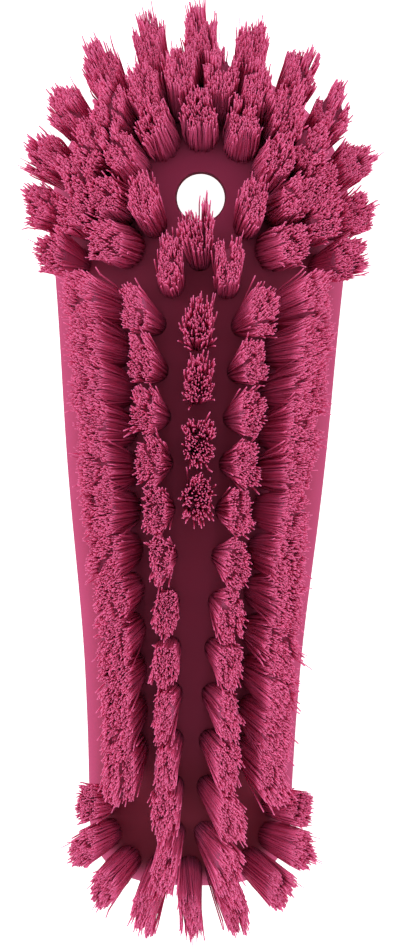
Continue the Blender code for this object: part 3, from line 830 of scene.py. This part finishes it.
def build_tufts(name, tufts, shape, nets):
    """One node's tufts as a mesh: each has its core, and its filaments, copied along their own paths."""
    (filament, filament_faces), (core, core_faces) = nets
    chance = random.Random(name)
    places, corners, heights, tints_and_core_shades, first = [], [], [], [], 0
    for each in tufts:
        tuft = Tuft(each, shape, chance)
        # Painted shade: the core is a little darker up its side and much darker on its top, for the shade
        # deep in the tuft
        core_shades = blend(CORE_SIDE_SHADE, CORE_TOP_SHADE, core[:, 2] ** CORE_TOP_SHARPNESS)
        copies = [(core_points(tuft, core), core_faces, core[:, 2], core_shades)]
        for path in filament_paths(tuft, chance):
            copies.append((filament_points(path, filament), filament_faces, filament[:, 2], path[-1]))
        for points, faces, height, tint_and_core_shade in copies:
            places.append(points)
            corners.extend([first + corner for corner in face] for face in faces)
            heights.append(height)
            tints_and_core_shades.append(np.broadcast_to(tint_and_core_shade, len(points)))
            first += len(points)
    mesh = bpy.data.meshes.new(name + "_filaments")
    mesh.from_pydata(np.concatenate(places).tolist(), [], corners)
    for attribute, values in (("along", heights), ("tint_and_core_shade", tints_and_core_shades)):
        values = np.concatenate(values).astype(np.float32)
        mesh.attributes.new(attribute, "FLOAT", "POINT").data.foreach_set("value", values)
    made = add_object(name + "_filaments", mesh)
    only(made)
    bpy.ops.object.shade_smooth()
    return made


# Materials


def new_nodes(name):
    """A material with its nodes, its links and its shader."""
    made = bpy.data.materials.new(name)
    made.use_nodes = True
    nodes = made.node_tree.nodes
    return made, nodes, made.node_tree.links, nodes["Principled BSDF"]


def set_inputs(node, values):
    """Sets a node's inputs, by name or number."""
    for name, value in values.items():
        node.inputs[name].default_value = value


def add_node(nodes, kind, values=None, **settings):
    """A node with its settings and the values of its inputs."""
    node = nodes.new("ShaderNode" + kind)
    for name, setting in settings.items():
        setattr(node, name, setting)
    set_inputs(node, values or {})
    return node


def uneven_dye():
    """Masterbatch colour that is a little lighter and darker from place to place."""
    group = bpy.data.node_groups.new("uneven_dye", "ShaderNodeTree")
    for name, kind in (("Light", "Color"), ("Dark", "Color"), ("Scale", "Float")):
        group.interface.new_socket(name, in_out="INPUT", socket_type="NodeSocket" + kind)
    for name, kind in (("Color", "Color"), ("Mask", "Float")):
        group.interface.new_socket(name, in_out="OUTPUT", socket_type="NodeSocket" + kind)
    nodes, links = group.nodes, group.links
    given, result = nodes.new("NodeGroupInput"), nodes.new("NodeGroupOutput")
    place = add_node(nodes, "TexCoord")
    cloud = add_node(nodes, "TexNoise", {"Detail": CLOUD_DETAIL})
    mix = add_node(nodes, "Mix", data_type="RGBA")
    links.new(place.outputs["Object"], cloud.inputs["Vector"])
    links.new(given.outputs["Scale"], cloud.inputs["Scale"])
    links.new(cloud.outputs["Fac"], mix.inputs["Factor"])
    links.new(given.outputs["Dark"], mix.inputs["A"])
    links.new(given.outputs["Light"], mix.inputs["B"])
    links.new(mix.outputs["Result"], result.inputs["Color"])
    links.new(cloud.outputs["Fac"], result.inputs["Mask"])
    return group


def add_dye(nodes, dye, light, dark, clouds):
    """The shared dye, with a material's own values."""
    return add_node(nodes, "Group", {"Light": light, "Dark": dark, "Scale": clouds}, node_tree=dye)


def block_plastic(dye):
    made, nodes, links, shader = new_nodes("block_plastic")
    set_inputs(shader, {"Specular IOR Level": PLASTIC_SPECULAR})
    colour = add_dye(nodes, dye, BLOCK_LIGHT, BLOCK_DARK, BLOCK_CLOUDS)
    # Painted shade: the face's colour is darkened among the tufts, where the attribute marks it, for the
    # shade they cast
    painted_shade = add_node(nodes, "Attribute", attribute_name="painted_shade")
    painted_shade_mix = add_node(nodes, "Mix", {"B": PAINTED_SHADE_COLOUR}, data_type="RGBA", blend_type="MULTIPLY")
    links.new(painted_shade.outputs["Fac"], painted_shade_mix.inputs["Factor"])
    links.new(colour.outputs["Color"], painted_shade_mix.inputs["A"])
    links.new(painted_shade_mix.outputs["Result"], shader.inputs["Base Color"])
    smoothest, roughest = BLOCK_ROUGHNESS
    sheen = add_node(nodes, "MapRange", {"To Min": smoothest, "To Max": roughest})
    links.new(colour.outputs["Mask"], sheen.inputs["Value"])
    links.new(sheen.outputs["Result"], shader.inputs["Roughness"])
    place = add_node(nodes, "TexCoord")
    grain = add_node(nodes, "TexNoise", {"Scale": GRAIN_SCALE, "Detail": GRAIN_DETAIL})
    bump = add_node(nodes, "Bump", {"Strength": GRAIN_STRENGTH, "Distance": GRAIN_DEPTH})
    links.new(place.outputs["Object"], grain.inputs["Vector"])
    links.new(grain.outputs["Fac"], bump.inputs["Height"])
    links.new(bump.outputs["Normal"], shader.inputs["Normal"])
    return made


def filament_plastic(dye):
    made, nodes, links, shader = new_nodes("filament")
    set_inputs(shader, {"Roughness": FILAMENT_ROUGHNESS, "Specular IOR Level": PLASTIC_SPECULAR})
    colour = add_dye(nodes, dye, FILAMENT_LIGHT, FILAMENT_DARK, FILAMENT_CLOUDS)
    along = add_node(nodes, "Attribute", attribute_name="along")
    tint_and_core_shade = add_node(nodes, "Attribute", attribute_name="tint_and_core_shade")
    # A paler colour toward the filaments' cut ends
    toward_cut_end = add_node(nodes, "MapRange", {"From Min": CUT_END_START, "To Max": CUT_END_SHARE})
    tip = add_node(nodes, "Mix", {"B": CUT_END}, data_type="RGBA")
    links.new(along.outputs["Fac"], toward_cut_end.inputs["Value"])
    links.new(toward_cut_end.outputs["Result"], tip.inputs["Factor"])
    links.new(colour.outputs["Color"], tip.inputs["A"])
    # A filament's own tone is real; the core's values lie below the tones' range and give it its painted
    # shade
    darkest, lightest = TONES
    tone_and_core_shade = add_node(nodes, "MapRange", {"To Min": darkest, "To Max": lightest}, clamp=False)
    shade_start, shade_end = ROOT_SHADE_ENDS
    limits = {"From Min": shade_start, "From Max": shade_end, "To Min": ROOT_SHADE}
    shade = add_node(nodes, "MapRange", limits)
    level = add_node(nodes, "Math", operation="MULTIPLY")
    toned_and_shaded = add_node(nodes, "VectorMath", operation="SCALE")
    links.new(tint_and_core_shade.outputs["Fac"], tone_and_core_shade.inputs["Value"])
    links.new(along.outputs["Fac"], shade.inputs["Value"])
    links.new(tone_and_core_shade.outputs["Result"], level.inputs[0])
    links.new(shade.outputs["Result"], level.inputs[1])
    links.new(tip.outputs["Result"], toned_and_shaded.inputs["Vector"])
    links.new(level.outputs[0], toned_and_shaded.inputs["Scale"])
    links.new(toned_and_shaded.outputs["Vector"], shader.inputs["Base Color"])
    return made


# The stage


def white_floor():
    """A floor that shows white to the camera and still takes the brush's faint shadow."""
    bpy.ops.object.select_all(action="DESELECT")
    bpy.ops.mesh.primitive_plane_add(size=FLOOR_SIZE, location=(0, 0, -FLOOR_GAP))
    floor = bpy.context.object
    floor.name = "floor"
    made, nodes, links, shader = new_nodes("white_floor")
    looks = {"Base Color": FLOOR_COLOUR, "Roughness": FLOOR_ROUGHNESS, "Emission Color": WHITE}
    set_inputs(shader, looks)
    path = add_node(nodes, "LightPath")
    glow = add_node(nodes, "Math", {1: FLOOR_GLOW}, operation="MULTIPLY")
    links.new(path.outputs["Is Camera Ray"], glow.inputs[0])
    links.new(glow.outputs[0], shader.inputs["Emission Strength"])
    floor.data.materials.append(made)


def light_tent():
    """Light from all round the brush, from a tent that shows plain white to the camera."""
    world = bpy.data.worlds.new("tent")
    bpy.context.scene.world = world
    world.use_nodes = True
    nodes, links = world.node_tree.nodes, world.node_tree.links
    back = nodes["Background"]
    set_inputs(back, {"Color": WHITE})
    limits = dict(zip(("From Min", "From Max", "To Min", "To Max"), TENT_LIGHT))
    place, split = add_node(nodes, "TexCoord"), add_node(nodes, "SeparateXYZ")
    wall = add_node(nodes, "MapRange", limits, interpolation_type="SMOOTHSTEP")
    path, level = add_node(nodes, "LightPath"), add_node(nodes, "Mix", {"B": 1})
    links.new(place.outputs["Generated"], split.inputs["Vector"])
    links.new(split.outputs["Z"], wall.inputs["Value"])
    links.new(path.outputs["Is Camera Ray"], level.inputs["Factor"])
    links.new(wall.outputs["Result"], level.inputs["A"])
    links.new(level.outputs["Result"], back.inputs["Strength"])


def soft_lamp(name, place, power):
    """A square softbox that faces the brush."""
    lamp = bpy.data.lights.new(name, "AREA")
    lamp.size = SOFTBOX_SIZE
    lamp.energy = power
    made = add_object(name, lamp)
    made.location = place
    made.rotation_euler = (Vector(SOFTBOX_AIM) - Vector(place)).to_track_quat("-Z", "Y").to_euler()


def place_camera():
    """Straight above the brush, whose axis lies 4 pixels left of the picture's middle, turned by a degree."""
    data = bpy.data.cameras.new("camera")
    data.sensor_fit = "VERTICAL"
    data.sensor_height = SENSOR_HEIGHT
    data.lens = SENSOR_HEIGHT * CAMERA_DISTANCE / (IMAGE_HEIGHT * METRES_A_PIXEL)
    data.clip_end = CAMERA_REACH
    made = add_object("camera", data)
    made.location = (CAMERA_OFFSET, 0, SCALE_HEIGHT + CAMERA_DISTANCE)
    made.rotation_euler = (0, 0, CAMERA_ROLL)
    bpy.context.scene.camera = made


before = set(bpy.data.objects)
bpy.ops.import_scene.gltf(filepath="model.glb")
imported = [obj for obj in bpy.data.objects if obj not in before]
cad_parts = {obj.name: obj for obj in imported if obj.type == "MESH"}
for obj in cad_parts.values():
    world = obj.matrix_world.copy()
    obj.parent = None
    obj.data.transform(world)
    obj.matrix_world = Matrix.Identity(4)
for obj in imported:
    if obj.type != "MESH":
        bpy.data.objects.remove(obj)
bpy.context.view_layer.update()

dye = uneven_dye()
block_finish = block_plastic(dye)
filament_finish = filament_plastic(dye)

rows = all_rows()
block = build_block()
cut_holes(block, rows)
mark_painted_shade(block)
block.data.materials.clear()
block.data.materials.append(block_finish)
only(block)
bpy.ops.object.shade_smooth_by_angle(angle=SMOOTH_ANGLE)
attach(block, "root")
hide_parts("brush_block")

nets = build_nets()
for name, (tufts, shape) in rows.items():
    made = build_tufts(name, tufts, shape, nets)
    made.data.materials.append(filament_finish)
    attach(made, "root")
    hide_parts(name)

white_floor()
light_tent()
for name, (place, power) in SOFTBOXES.items():
    soft_lamp(name, place, power)
place_camera()

bpy.context.scene.view_settings.view_transform = "Standard"
